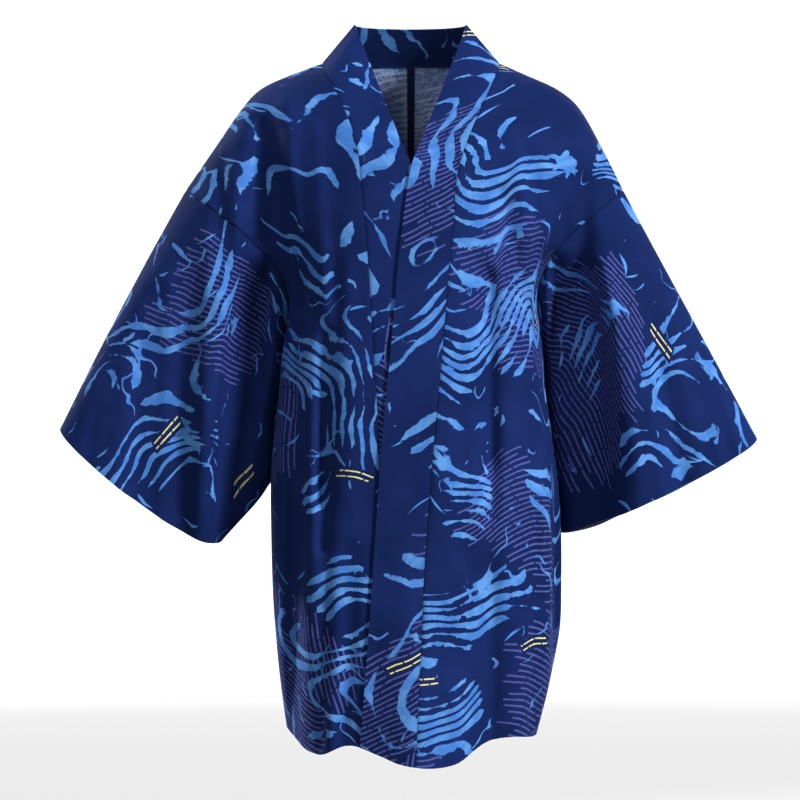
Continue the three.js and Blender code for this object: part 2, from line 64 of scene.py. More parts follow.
TORSO = table("z left right front back", [
    (-830, 150.5, 149, 122, 122), (-766, 166, 157, 122, 121), (-700, 178.5, 163, 121, 119),
    (-650, 180.5, 166, 121, 118), (-562, 180, 168, 120, 114), (-510, 176, 168, 119, 110),
    (-454, 169, 164, 119, 106), (-400, 161, 158, 118, 103), (-340, 155, 151, 116, 102),
    (-310, 153, 148, 114, 102), (-190, 153, 148, 108, 102), (-133, 153, 148, 103, 102)])
HEMLINE = table("angle z", [
    (-180, -812), (-135, -816), (-90, -797), (-72, -802), (-55, -815), (-42, -818), (-25, -807),
    (-11, -818), (-4, -826), (6, -831), (17, -827), (32, -806), (50, -800), (70, -804), (90, -805),
    (135, -816), (180, -812)])
SHOULDER = table("u left leftZ right rightZ", [
    (0, 106.5, -2, 107, -2), (0.16, 136, -15, 142, -15), (0.35, 177, -34, 179, -32),
    (0.5, 202, -56, 201, -54), (0.74, 230, -105, 237, -106), (1, 254.5, -154, 270, -154)])
DRAPE = "u lowerOut lowerFore lowerUp upperOut upperFore upperUp"
ARMHOLE = (-24, 56, 70, -30, 80, -30)
FRONT_DRAPE = table(DRAPE, [
    (0, 8, -4, 110, 0, 50, 0), (0.35, 6, 0, 108, -8, 64, 0), (0.7, -6, 16, 88, -12, 74, -8),
    (1, *ARMHOLE)])
BACK_DRAPE = table(DRAPE, [
    (0, 0, 10, 120, 0, 26, -56), (0.3, 2, 10, 116, 0, 56, -10), (0.6, 0, 14, 100, -8, 68, -2),
    (1, *ARMHOLE)])
BAND = table("z seamLeft seamRight edgeLeft edgeRight edgeZ", [
    (-830, 5, -47, -60, 11, -830), (-694, 11, -42, -50, 16, -694), (-586, 16, -39, -43, 19, -586),
    (-454, 26, -38, -34, 20, -454), (-340, 37, -45, -23, 13, -338), (-250, 44, -50, -15, 8, -244),
    (-190, 50, -55, -7, 4, -176), (-152, 52, -59, 0, 0, -133), (-118, 60, -62, 11, -11, -104),
    (-88, 71, -69, 24, -24, -70), (-58, 84, -81, 37, -37, -36), (-32, 95, -93, 50, -50, -1),
    (-14, 103, -102, 61, -62, 29), (-2, 106.5, -107, 67, -68, 46)])
BAND_RISING = table("z seamY edgeY", [
    (-152, -100, -102), (-118, -94, -84), (-88, -84, -64), (-58, -67, -43), (-32, -46, -23),
    (-14, -24, -6), (-2, 0, 10)])
RING = "s topOut topZ seamOut seamBack seamZ " + DRAPE[2:] + " backUp"
SLEEVE = {
    -1: table(RING, [
        (0, 270, -154, 148, 0, -310, *ARMHOLE, 0),
        (0.12, 288, -186, 154.6, 28, -356, 2, 46, 30, -26, 78, -26, 0),
        (0.33, 320, -244, 157.5, 42, -428, 8, 40, 4, -16, 76, -22, 0),
        (0.67, 373, -344, 170, 40, -505, 16, 40, -18, -8, 68, -18, 0),
        (1, 421, -440, 227, 8, -575, 22, 44, -22, 0, 62, -16, 4)]),
    1: table(RING, [
        (0, 254.5, -154, 153, 0, -310, *ARMHOLE, 0),
        (0.12, 274, -191, 160.8, 28, -358, 2, 46, 30, -26, 78, -26, 0),
        (0.33, 307, -252, 161.5, 42, -436, 8, 40, 4, -16, 76, -22, 0),
        (0.67, 361, -351, 175, 40, -516, 14, 40, -8, -8, 68, -14, -5),
        (1, 415, -451, 180, 20, -565, 30, 46, 0, 0, 62, -17, -10)]),
}
# The solids' folds: x0 z0 x1 z1 spread top foot
FRONT_FOLDS = [
    (-136, -400, -137, -810, 17, -5, -16), (-102, -540, -105, -830, 26, 4, 13),
    (-98, -340, -101, -520, 13, -5, -9), (-68, -370, -70, -560, 15, 4, 5),
    (0, -620, 6, -835, 34, 2, 13), (88, -250, 92, -480, 15, -6, -9),
    (92, -620, 93, -815, 24, -3, -14), (130, -330, 134, -520, 16, 5, 5),
    (130, -620, 128, -806, 20, 4, 8), (-148, -60, -140, -200, 18, 6, 6),
    (-178, -80, -164, -250, 18, -5, -9), (160, -80, 148, -210, 18, 4, 5),
    (186, -90, 172, -250, 18, -6, -10), (103, -166, 128, -280, 18, -3, -5),
    (-235, -230, -238, -570, 26, 7, 11), (-190, -280, -194, -540, 21, -10, -14),
    (-300, -300, -312, -530, 24, -3, -6), (236, -205, 284, -530, 26, 7, 10),
    (194, -270, 212, -550, 21, -10, -14), (330, -320, 352, -500, 24, -3, -6)]
BACK_FOLDS = [
    (0, -430, 0, -815, 26, -3, -11), (-62, -420, -66, -815, 26, 3, 13),
    (60, -440, 64, -815, 26, 3, 12), (-118, -360, -120, -815, 18, -4, -13),
    (116, -380, 122, -815, 18, -4, -13), (-96, -130, -134, -290, 15, -3, -8),
    (92, -140, 132, -290, 15, -3, -8), (-176, -110, -168, -250, 14, -5, -9),
    (182, -110, 174, -250, 14, -5, -9), (-244, -240, -256, -560, 27, 6, 11),
    (-196, -290, -204, -540, 20, -8, -12), (240, -230, 268, -540, 27, 6, 11),
    (196, -280, 214, -540, 20, -8, -12)]
FOLD_FADE = 36.0

# Creases that only the visual cloth has, in the same columns.
FRONT_CREASES = [
    # shoulders and chest
    (-112, -80, -100, -300, 9, 2.5, 4.0), (-134, -110, -120, -300, 8, -3.0, -4.0),
    (-160, -90, -138, -262, 11, -6.0, -13.0), (-146, -170, -132, -290, 8, -4.0, -9.0),
    (-210, -130, -204, -240, 9, 3.0, 5.0), (-222, -120, -230, -200, 8, -2.5, -3.0),
    (-176, -85, -183, -215, 12, -7.0, -12.0),
    (-92, -190, -88, -330, 9, -1.5, -3.0), (-74, -240, -78, -360, 8, 1.5, 2.0),
    (118, -90, 140, -230, 9, 2.5, 3.5), (143, -120, 154, -270, 9, -3.5, -6.0),
    (104, -160, 132, -272, 7, -3.0, -4.5), (100, -250, 122, -330, 8, 2.0, 3.0),
    (182, -110, 172, -225, 8, 2.0, 3.0), (207, -150, 200, -262, 12, -6.0, -12.0),
    (62, -210, 96, -250, 8, 1.5, 2.0), (76, -100, 90, -170, 9, 1.2, 2.0),
    # body, from the bust to the hem
    (-137, -330, -138, -812, 9, -8.0, -9.0), (-117, -400, -120, -812, 9, 5.0, 6.0),
    (-150, -430, -154, -790, 8, 3.0, 4.0), (-100, -330, -102, -580, 8, -6.5, -7.0),
    (-86, -380, -86, -700, 9, 2.0, 2.5), (-70, -640, -82, -826, 8, -2.0, -5.0),
    (-56, -560, -58, -760, 9, 1.5, 2.5), (-98, -600, -106, -812, 7, -4.0, -7.0),
    (-128, -560, -133, -800, 9, 2.0, 6.0), (-112, -640, -118, -812, 8, -3.0, -7.0),
    (56, -330, 62, -600, 9, -1.8, -2.5), (90, -260, 93, -540, 9, -7.0, -8.0),
    (110, -420, 108, -660, 9, 2.0, 3.0), (140, -470, 143, -800, 8, -5.0, -7.0),
    (155, -470, 157, -790, 8, 3.0, 4.0), (144, -360, 150, -640, 9, -5.0, -6.0),
    (92, -600, 92, -812, 9, -3.0, -5.0),
    (46, -690, 54, -826, 9, 1.5, 4.0), (72, -720, 74, -822, 8, -1.5, -3.5),
    (20, -640, 24, -720, 5, 1.4, 1.4), (36, -705, 38, -745, 4, 1.6, 1.6),
    (8, -640, 9, -700, 4, -1.2, -1.2), (28, -420, 30, -560, 8, 1.0, 1.5),
    # sleeves
    (-262, -300, -272, -565, 11, -2.5, -5.0), (-240, -210, -250, -570, 8, 3.0, 4.0),
    (-340, -370, -352, -520, 12, 2.5, 4.0), (-318, -330, -330, -530, 9, -2.0, -3.5),
    (-288, -260, -298, -555, 9, 2.0, 3.5), (-376, -420, -388, -500, 9, -2.0, -3.0),
    (262, -250, 300, -530, 10, 3.0, 4.5), (284, -300, 326, -520, 9, -3.0, -4.5),
    (310, -300, 348, -505, 10, 2.0, 3.5), (352, -360, 384, -480, 9, -2.0, -3.0),
    (244, -240, 258, -545, 7, -2.0, -3.0)]
BACK_CREASES = [
    (-30, -560, -34, -815, 10, -2.0, -4.0), (30, -560, 32, -815, 10, -2.0, -4.0),
    (-92, -520, -96, -815, 9, -3.5, -6.0), (90, -540, 96, -815, 9, -3.5, -6.0),
    (-40, -110, -70, -260, 12, 1.5, 2.5), (40, -110, 70, -260, 12, 1.5, 2.5),
    (-120, -90, -146, -230, 10, 3.0, 4.5), (120, -90, 146, -230, 10, 3.0, 4.5),
    (-104, -140, -138, -300, 8, -3.0, -5.0), (100, -150, 137, -300, 8, -3.0, -5.0),
    (-136, -420, -142, -800, 8, 2.5, 4.0), (138, -430, 142, -800, 8, 2.5, 4.0),
    (-16, -330, -20, -640, 12, 1.5, 2.5), (18, -360, 20, -640, 12, 1.5, 2.5),
    (-196, -110, -184, -235, 9, -3.0, -4.5), (200, -110, 186, -235, 9, -3.0, -4.5),
    (-282, -320, -292, -545, 11, -2.5, -5.0), (-226, -260, -230, -560, 9, 3.0, 4.0),
    (-320, -340, -334, -530, 10, 2.0, 3.5), (318, -340, 350, -520, 10, 2.0, 3.5),
    (284, -330, 306, -530, 11, -2.5, -5.0), (222, -260, 240, -545, 9, 3.0, 4.0)]

# Beside the body each sleeve turns in behind a soft edge: where that edge lies, and how wide it is
TUCK = {
    -1: table("z edge wide", [
        (-576, 222, 16), (-500, 224, 15), (-430, 220, 14), (-343, 211, 13), (-245, 194, 13)]),
    1: table("z edge wide", [
        (-560, 226, 30), (-466, 224, 30), (-406, 222, 28), (-346, 218, 26), (-226, 202, 22)]),
}
TUCK_FROM, TUCK_TOP, TUCK_FADE = 163, -225, 75
TUCK_SHARE = (0.97, 0.3)  # how much of the depth is taken away, at the front and at the back
CREST_HEIGHT, CREST_SPREAD = (20, 4), 26

# The body's side bulges a little behind the sleeve's lower seam, which is drawn in to meet it
BULGE, BULGE_FROM, BULGE_AT, BULGE_SPREAD = 2.4, 140, -352, (30, 26)
DRAWN_IN, DRAWN_TO, DRAWN_TOP, DRAWN_FOOT = 4.2, 160, -312, -430

CLOTH, HEM_CLOTH, BAND_CLOTH, STRIP_CLOTH = 0.9, 1.8, 2.0, 0.6  # thicknesses
GROOVE, GROOVE_REACH = 0.8, 1.2  # how far the cloth dips at a sewn seam, and how wide
# SEAM_SHADE_REACH: how far from a sewn seam the painted shade in the cloth's colour reaches
SEAM_SHADE_REACH = 1.5
CLOTH_WIDTH = 360  # of the kimono cloth that a body panel is cut from
STRIP_HALF, STRIP_OFF = 4.2, 1.6  # half the strip's width, and its distance inside the back
FAR = 1e3  # stands for "no seam near"


def clamp(x, low=0.0, high=1.0):
    return np.minimum(high, np.maximum(low, x))


def smooth(x):
    x = clamp(x)
    return x * x * (3 - 2 * x)


def mix(a, b, t):
    return a + (b - a) * t


def column(rows, key, name, at):
    """One column of a table at values of its key column, on a smooth curve through the rows."""
    k, v = rows[key], rows[name]
    at = np.asarray(at, float)
    last = len(k) - 1
    j = np.arange(last + 1)
    before, after = np.maximum(0, j - 1), np.minimum(last, j + 1)
    tangent = (v[after] - v[before]) / (k[after] - k[before])
    i = np.clip(np.searchsorted(k, at, side="left") - 1, 0, last - 1)
    span = k[i + 1] - k[i]
    t = clamp((at - k[i]) / span)
    t2, t3 = t * t, t * t * t
    return ((2 * t3 - 3 * t2 + 1) * v[i] + (t3 - 2 * t2 + t) * span * tangent[i]
            + (3 * t2 - 2 * t3) * v[i + 1] + (t3 - t2) * span * tangent[i + 1])


def point(x, y, z):
    return np.stack(np.broadcast_arrays(x, y, z), -1).astype(float)


def half_width(x, z):
    """Half the torso's width at a height, on the side that x lies on."""
    return np.where(np.asarray(x) >= 0, column(TORSO, "z", "left", z), column(TORSO, "z", "right", z))


def angle_of(x, z):
    """The torso's angle from the centre front at which its surface is at x."""
    return np.arcsin(clamp(np.abs(x) / half_width(x, z)) ** (ROUNDNESS / 2)) * np.sign(x)


def torso(angle, z, lift=0.0):
    """Points of the torso at angles from the centre front and nominal heights, moved out by lift."""
    angle, z = np.asarray(angle, float), np.asarray(z, float)
    sin, cos = np.sin(angle), np.cos(angle)
    power = 2 / ROUNDNESS
    depth = np.where(cos >= 0, column(TORSO, "z", "front", z), column(TORSO, "z", "back", z))
    hem = column(HEMLINE, "angle", "z", np.degrees(angle))
    height = np.where(z >= ARMPIT, z, mix(ARMPIT, hem, (ARMPIT - z) / (ARMPIT - HEM)))
    x = np.sign(sin) * half_width(sin, z) * np.abs(sin) ** power
    y = -np.sign(cos) * (depth * np.abs(cos) ** power + lift * np.abs(cos))
    return point(x, y, height)


def overlap_lift(side, z, u=0.0):
    """How far the left front, which lies over the right, stands out."""
    lift = OVERLAP_LIFT if side > 0 else 0.0
    return lift * smooth((-45 - np.asarray(z, float)) / 60) * (1 - smooth(np.asarray(u) / 0.6))


def band_point(side, z, across):
    """Points of the neck band at nominal heights: across is 0 at its outer seam and 1 at its inner edge."""
    name = "Left" if side > 0 else "Right"
    x = mix(column(BAND, "z", "seam" + name, z), column(BAND, "z", "edge" + name, z), across)
    height = mix(z, column(BAND, "z", "edgeZ", z), across)
    lift = overlap_lift(side, z)
    flat = torso(angle_of(x, height), height, lift)
    y = mix(column(BAND_RISING, "z", "seamY", z), column(BAND_RISING, "z", "edgeY", z), across) - lift
    rising = smooth((np.asarray(z) - CROSSING) / 30)
    height = np.where(np.asarray(z) <= CROSSING, flat[..., 2], height)
    return point(x, mix(flat[..., 1], y, rising), height)


def back_neck(side, turn, across):
    """Points of the neck band behind the shoulders: turn is 0 at the shoulder and 1 at the centre back."""
    start = band_point(side, BAND["z"][-1], across)
    sin, cos = np.sin(turn * np.pi / 2), np.cos(turn * np.pi / 2)
    y = mix(start[..., 1], mix(BACK_NECK["seamY"], BACK_NECK["edgeY"], across), sin ** 0.9)
    z = mix(start[..., 2], mix(BACK_NECK["seamZ"], BACK_NECK["edgeZ"], across), sin ** 2)
    return point(start[..., 0] * np.maximum(cos, 0) ** 0.9, y, z)


def shoulder_fold(side, u):
    """The line over which a body panel is folded, from the neck, 0, to the sleeve seam, 1."""
    name = "left" if side > 0 else "right"
    return point(side * column(SHOULDER, "u", name, u), 0.0, column(SHOULDER, "u", name + "Z", u))


def rise(side, face, rows, key, at, start, end, t, root=None, up=0.0):
    """Points on Bezier curves whose inner points come from a drape table."""
    root = start if root is None else root
    get = partial(column, rows, key, at=at)
    lower = root + point(side * get("lowerOut"), face * get("lowerFore"), get("lowerUp") + up)
    upper = end + point(side * get("upperOut"), face * get("upperFore"), get("upperUp") + up)
    t = np.asarray(t, float)[..., None]
    near_start = (1 - t) ** 3 * start + 3 * (1 - t) ** 2 * t * lower
    return near_start + 3 * (1 - t) * t * t * upper + t ** 3 * end


def seam_angle(side, z):
    """The torso's angle at the neck band's outer seam."""
    return angle_of(band_point(side, z, 0.0)[..., 0], z)


def plain_edge(side, t):
    """The front panel's inner edge above the armpit, before it is moved to the band's seam."""
    foot = torso(seam_angle(side, ARMPIT), ARMPIT, overlap_lift(side, ARMPIT))
    return rise(side, -1, FRONT_DRAPE, "u", 0.0, foot, shoulder_fold(side, 0.0), t)


def upper_front(side, u, t):
    """The front panel from the armpit's height, t 0, up to the shoulder, 1; u is 1 at the sleeve."""
    angle = mix(seam_angle(side, ARMPIT), side * np.pi / 2, u)
    foot = torso(angle, ARMPIT, overlap_lift(side, ARMPIT, u))
    p = rise(side, -1, FRONT_DRAPE, "u", u, foot, shoulder_fold(side, u), t)
    edge = plain_edge(side, t)
    return p + (band_point(side, edge[..., 2], 0.0) - edge) * ((1 - u) ** 2)[..., None]


def upper_back(side, u, t):
    """The back panel from the armpit's height up to the neck and shoulder; u is 0 at the centre back."""
    foot = torso(side * mix(np.pi, np.pi / 2, u), ARMPIT)
    on_neck = back_neck(side, 1 - clamp(u / NECK_SHARE), 0.0)
    on_fold = shoulder_fold(side, clamp((u - NECK_SHARE) / (1 - NECK_SHARE)))
    top = np.where((u < NECK_SHARE)[..., None], on_neck, on_fold)
    return rise(side, 1, BACK_DRAPE, "u", u, foot, top, t)


def fold_height(folds, x, z):
    """How far the cloth stands out at a place, as the sum of its folds."""
    height = np.zeros_like(x)
    for x0, z0, x1, z1, spread, top, foot in folds:
        dx, dz = x1 - x0, z1 - z0
        t = clamp(((x - x0) * dx + (z - z0) * dz) / (dx * dx + dz * dz))
        distance = np.hypot(x - x0 - t * dx, z - z0 - t * dz)
        height += mix(top, foot, t) * np.exp(-((distance / spread) ** 2))
    return height


def hashed(i, j, seed):
    """A repeatable random number for each whole-numbered place."""
    h = np.sin(i * 127.1 + j * 311.7 + seed * 74.7) * 43758.5453
    return h - np.floor(h)


def ripple(x, z, size, seed):
    """Smooth random relief from -1 to 1 with hills about as wide as size."""
    x, z = x / size, z / size
    i, j = np.floor(x), np.floor(z)
    fx, fz = smooth(x - i), smooth(z - j)
    low = mix(hashed(i, j, seed), hashed(i + 1, j, seed), fx)
    high = mix(hashed(i, j + 1, seed), hashed(i + 1, j + 1, seed), fx)
    return 2 * mix(low, high, fz) - 1


def folded(p):
    """The points with the solids' folds, the smaller creases and a slight unevenness of the cloth."""
    x, y, z = p[..., 0], p[..., 1], p[..., 2]
    front = fold_height(FRONT_FOLDS + FRONT_CREASES, x, z)
    back = fold_height(BACK_FOLDS + BACK_CREASES, x, z)
    uneven = 1.1 * ripple(x, z * 0.45, 38, 1) + 0.7 * ripple(x + 0.4 * z, z * 0.6, 17, 2)
    height = np.where(y < 0, front, back) + uneven
    y = y + np.sign(y) * height * smooth(np.abs(y) / FOLD_FADE)
    share = np.where(y < 0, *TUCK_SHARE)
    crest_height = np.where(y < 0, *CREST_HEIGHT)
    for side, rows in TUCK.items():
        edge, wide = column(rows, "z", "edge", z), column(rows, "z", "wide", z)
        on_side = smooth((side * x - TUCK_FROM) / 10) * smooth((TUCK_TOP - z) / TUCK_FADE)
        turned_in = on_side * (1 - smooth((side * x - edge) / wide))
        crest = on_side * np.exp(-(((side * x - edge - wide) / CREST_SPREAD) ** 2))
        raised = np.sign(y) * crest_height * crest * smooth(np.abs(y) / 20)
        y = y * (1 - share * turned_in) + raised
    return point(x, y, z)


# ---------------------------------------------------------------------------------------------------
# The sheets of each piece, and closed shells from them
# ---------------------------------------------------------------------------------------------------


def spaced(count, near=(0.004, 0.010, 0.018)):
    """Numbers from 0 to 1, with a few more close to both ends."""
    inner = np.linspace(0, 1, count + 1)[1:-1]
    near = np.array(near)
    return np.concatenate([[0.0], near, inner, 1 - near[::-1], [1.0]])


# Where the sheets have their points: rows and columns lie closer together at hems and seams
ACROSS = spaced(46)
NECK_ACROSS = np.concatenate([[0, 0.008, 0.02], np.linspace(0, 1, 17)[1:-1]])
HEM_ROWS = [0.0, 3.0, 8.0, 14.0, 19.0, HEM_DEPTH + 0.5, 23.0]
LOWER = np.concatenate([HEM_ROWS, np.linspace(23, ARMPIT - HEM, 104)[1:-1]]) + HEM
RISE = spaced(76, (0.005, 0.010))
CUFF_ROWS = [0.940, 0.945, 0.965, 0.985, 1.0]
SLEEVE_ALONG = np.concatenate([[0, 0.005, 0.012], np.linspace(0, 0.936, 76)[2:], CUFF_ROWS])
BAND_ACROSS = np.array([0, 0.03, 0.07, 0.13, 0.22, 0.33, 0.45, 0.57, 0.69, 0.8, 0.88, 0.94, 0.975, 1.0])
NECK_TURNS = np.linspace(0, 1, 30)


def grid(a, b):
    return np.meshgrid(a, b, indexing="ij")


def arc(points, axis):
    """Lengths along the rows or columns of a sheet, from its first one."""
    steps = np.linalg.norm(np.diff(points, axis=axis), axis=-1)
    zero = np.zeros_like(np.take(steps, [0], axis=axis))
    return np.cumsum(np.concatenate([zero, steps], axis=axis), axis=axis)


def ends(points, axis, first=True, last=True):
    """How far each point of a sheet is from its first and last rows or columns, in millimetres."""
    run = arc(points, axis)
    total = np.take(run, [-1], axis=axis)
    far = np.full(run.shape, FAR)
    return np.minimum(run if first else far, total - run if last else far)


def widened(p, side):
    """The body's side, filled out a little under the arm, so that the sleeve's lower seam lies behind it."""
    high, deep = BULGE_SPREAD
    more = BULGE * np.exp(-(((p[..., 2] - BULGE_AT) / high) ** 2)) * np.exp(-((p[..., 1] / deep) ** 2))
    more *= smooth((np.abs(p[..., 0]) - BULGE_FROM) / 8)
    return p + point(side * more, 0.0, 0.0)


def drawn_in(p, side):
    """The sleeve, drawn in a little towards its lower seam, so that no slit is left beside the body."""
    less = DRAWN_IN * smooth((DRAWN_TOP - p[..., 2]) / 26) * smooth((p[..., 2] - DRAWN_FOOT) / 50)
    less *= 1 - smooth((side * p[..., 0] - DRAWN_TO) / 16)
    return p - point(side * less, 0.0, 0.0)


def body_sheets(side):
    """The front and the back of one body panel, which meet at the shoulder and the side seam."""
    z, u = grid(LOWER, ACROSS)
    lower = torso(mix(seam_angle(side, z), side * np.pi / 2, u), z, overlap_lift(side, z, u))
    t, u = grid(RISE, ACROSS)
    front = folded(np.concatenate([widened(lower, side), upper_front(side, u, t)]))
    across = np.concatenate([NECK_ACROSS * NECK_SHARE, NECK_SHARE + (1 - NECK_SHARE) * ACROSS])
    z, u = grid(LOWER, across)
    lower = widened(torso(side * mix(np.pi, np.pi / 2, u), z), side)
    t, u = grid(RISE, across)
    back = folded(np.concatenate([lower, upper_back(side, u, t)]))
    from_front, from_back = arc(front, 1), arc(back, 1)
    front_flat = [CLOTH_WIDTH - (from_front[:, -1:] - from_front), arc(front, 0)]
    fold = front_flat[1][-1].mean()
    down = arc(back, 0)
    back_flat = [CLOTH_WIDTH - (from_back[:, -1:] - from_back), fold + down[-1:] - down]
    beside_neck = np.arange(len(across)) <= len(NECK_ACROSS)
    on_neck = ends(back, 0, first=False) + np.where(beside_neck, 0, FAR)
    hem = slice(len(HEM_ROWS) - 1)
    return [dict(rows=front, flip=side < 0, flat=front_flat, hem=hem, seam=ends(front, 1)),
            dict(rows=back, flip=side > 0, flat=back_flat, hem=hem, seam=np.minimum(ends(back, 1), on_neck))]


def sleeve_sheets(side):
    """One sleeve as a ring that goes up its front and down its back, from the armhole to the cuff."""
    rows = SLEEVE[side]
    s, t = grid(SLEEVE_ALONG, RISE)
    get = partial(column, rows, "s", at=s)
    seam = point(side * get("seamOut"), get("seamBack"), get("seamZ"))
    top = point(side * get("topOut"), 0.0, get("topZ"))
    root = point(seam[..., 0], 0.0, seam[..., 2])
    front = rise(side, -1, rows, "s", s, seam, top, t, root)
    back = rise(side, 1, rows, "s", s, seam, top, t, root, get("backUp"))
    ring = folded(drawn_in(np.concatenate([front, back[:, -2::-1]], axis=1), side))
    around = arc(ring, 1)
    flat = [arc(ring, 0), around - around[:, [len(RISE) - 1]]]
    seam = np.minimum(ends(ring, 0, last=False), ends(ring, 1))
    return [dict(rows=ring, flip=side > 0, flat=flat, hem=slice(-len(CUFF_ROWS), None), seam=seam)]


def band_sheets():
    """The neck band from the right front hem round the neck to the left."""
    halves = []
    for side in (-1, 1):
        z, across = grid(np.concatenate([LOWER, plain_edge(side, RISE)[..., 2]]), BAND_ACROSS)
        turn, around = grid(NECK_TURNS[1:], BAND_ACROSS)
        fronts, neck = folded(band_point(side, z, across)), back_neck(side, turn, around)
        neck[..., 1] += 0.5 * ripple(neck[..., 0], neck[..., 1], 26, 5)
        halves.append(np.concatenate([fronts, neck]))
    rows = np.concatenate([halves[0], halves[1][::-1][1:]])
    return [dict(rows=rows, flip=False, flat=[arc(rows, 1), arc(rows, 0)], hem=slice(0),
                 seam=ends(rows, 1, last=False))]


def strip_sheets():
    """The pressed seam allowance, just inside the centre back from above the hem to the neck."""
    heights = LOWER[len(HEM_ROWS) - 1:]
    lower, upper = torso(np.full(len(heights), np.pi), heights), upper_back(1, np.zeros(len(RISE)), RISE)
    line = folded(np.concatenate([lower, upper]))
    along = np.gradient(line, axis=0)
    along /= np.linalg.norm(along, axis=1, keepdims=True)
    middle = line + np.stack([0 * along[:, 0], -along[:, 2], along[:, 1]], -1) * STRIP_OFF
    middle = middle[:-3]
    xs = np.linspace(-STRIP_HALF, STRIP_HALF, 7)
    rows = np.repeat(middle[:, None, :], len(xs), axis=1)
    rows[..., 0] = xs * (1 + 0.05 * ripple(middle[:, 2], middle[:, 2] * 0, 40, 9))[:, None]
    rows[..., 1] -= 0.5 * (1 - (xs / STRIP_HALF) ** 2)
    return [dict(rows=rows, flip=True, flat=[arc(rows, 1), arc(rows, 0)], hem=slice(0),
                 seam=np.full(rows.shape[:2], FAR))]


def places(points):
    """A whole-numbered key for each point: points in the same fiftieth of a millimetre share it."""
    return [tuple(key) for key in np.round(points * 50).astype(int).reshape(-1, 3)]


def quad_of(numbers, flat, r, c):
    """The corners of one cell of a sheet and their places in the cloth, without repeated corners."""
    cell = [(r, c), (r, c + 1), (r + 1, c + 1), (r + 1, c)]
    corners = {}
    for place in cell:
        corners.setdefault(numbers[place], flat[place])
    return list(corners), list(corners.values())


def net_of(sheets):
    """The sheets' points, each place once, with the faces, their corners in the cloth, the points in
    hems and each point's distance from a seam."""
    points, found, quads, corners, hems, seams = [], {}, [], [], set(), []
    for sheet in sheets:
        rows, distances = sheet["rows"], sheet["seam"].ravel()
        numbers = []
        for key, place, distance in zip(places(rows), rows.reshape(-1, 3), distances):
            if key not in found:
                found[key] = len(points)
                points.append(place)
                seams.append(distance)
            numbers.append(found[key])
        numbers = np.array(numbers).reshape(rows.shape[:2])
        hems.update(numbers[sheet["hem"]].ravel().tolist())
        flat = np.stack(sheet["flat"], -1)
        order = -1 if sheet["flip"] else 1
        for r in range(rows.shape[0] - 1):
            for c in range(rows.shape[1] - 1):
                quad, uv = quad_of(numbers, flat, r, c)
                if len(quad) > 2:
                    quads.append(quad[::order])
                    corners.append(uv[::order])
    return np.array(points), quads, corners, hems, np.array(seams)


def normals_of(points, quads):
    """The way each point faces, averaged over its faces by their areas."""
    normals = np.zeros_like(points)
    four = np.array([q if len(q) == 4 else [*q, q[2]] for q in quads])
    a, b, c, d = (points[four[:, i]] for i in range(4))
    triangle = (four[:, 3] == four[:, 2])[:, None]
    cross = np.where(triangle, np.cross(b - a, c - a), np.cross(c - a, d - b))
    for i in range(4):
        np.add.at(normals, four[:, i], cross)
    return normals / np.maximum(np.linalg.norm(normals, axis=1, keepdims=True), 1e-9)


def shared_normals(all_sheets):
    """How the cloth faces at the seams, for every place that more than one piece has."""
    total, seen = {}, {}
    for sheets in all_sheets:
        points, quads = net_of(sheets)[:2]
        for key, normal in zip(places(points), normals_of(points, quads)):
            total[key] = total.get(key, 0) + normal
            seen[key] = seen.get(key, 0) + 1
    return {k: v / max(1e-9, np.linalg.norm(v)) for k, v in total.items() if seen[k] > 1}


def shell_of(quads, corners, count):
    """Faces of a closed shell, whose wrong side has the outer points' numbers plus count: the outer
    faces, the wrong side's, and last the rims along the open edges."""
    faces = [list(q) for q in quads] + [[i + count for i in q[::-1]] for q in quads]
    uvs = list(corners) + [uv[::-1] for uv in corners]
    edges = {}
    for f, quad in enumerate(quads):
        for i, start in enumerate(quad):
            edges[(start, quad[(i + 1) % len(quad)])] = (f, i)
    for (a, b), (f, i) in edges.items():
        if (b, a) not in edges:
            start, end = corners[f][i], corners[f][(i + 1) % len(corners[f])]
            faces.append([b, a, a + count, b + count])
            uvs.append([end, start, start, end])
    return faces, uvs


def build_piece(node, sheets, slot_name, materials, thickness, hem_thickness, offset, shared):
    """A closed shell of cloth in place of a solid, with coordinates of the flat cloth, moved by offset."""
    name = node + "_cloth"
    points, quads, corners, hems, seams = net_of(sheets)
    normals = normals_of(points, quads)
    for i, key in enumerate(places(points)):
        normals[i] = shared.get(key, normals[i])
    points -= normals * (GROOVE * np.exp(-((seams / GROOVE_REACH) ** 2)))[:, None]
    depth = np.full(len(points), thickness)
    depth[list(hems)] = hem_thickness
    faces, uvs = shell_of(quads, corners, len(points))
    points = np.concatenate([points, points - normals * depth[:, None]])
    first_rim = 2 * len(quads)
    mesh = bpy.data.meshes.new(name)
    mesh.from_pydata((points / 1000).tolist(), [], faces)
    on_wrong_side = [int(len(quads) <= face < first_rim) for face in range(len(faces))]
    mesh.polygons.foreach_set("material_index", on_wrong_side)
    mesh.polygons.foreach_set("use_smooth", [True] * len(faces))
    flat = np.concatenate([np.array(uv) for uv in uvs]) / 1000 + np.array(offset)
    mesh.uv_layers.new(name="flat_cut").data.foreach_set("uv", flat.ravel())
    # near_seam is 1 on a sewn seam and fades within about 1.5 mm; the materials use it for painted shade
    # along the seams, and for stitches on the wrong side
    near = mesh.attributes.new("near_seam", "FLOAT", "POINT")
    near.data.foreach_set("value", np.tile(np.exp(-((seams / SEAM_SHADE_REACH) ** 2)), 2))
    for material in materials:
        mesh.materials.append(material)
    mesh.validate()
    mesh.update()
    rim_edges = {key for face in mesh.polygons[first_rim:] for key in face.edge_keys}
    for edge in mesh.edges:
        edge.use_edge_sharp = edge.key in rim_edges
    obj = bpy.data.objects.new(name, mesh)
    bpy.context.scene.collection.objects.link(obj)
    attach(obj, "root")
    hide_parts(node)
    return obj


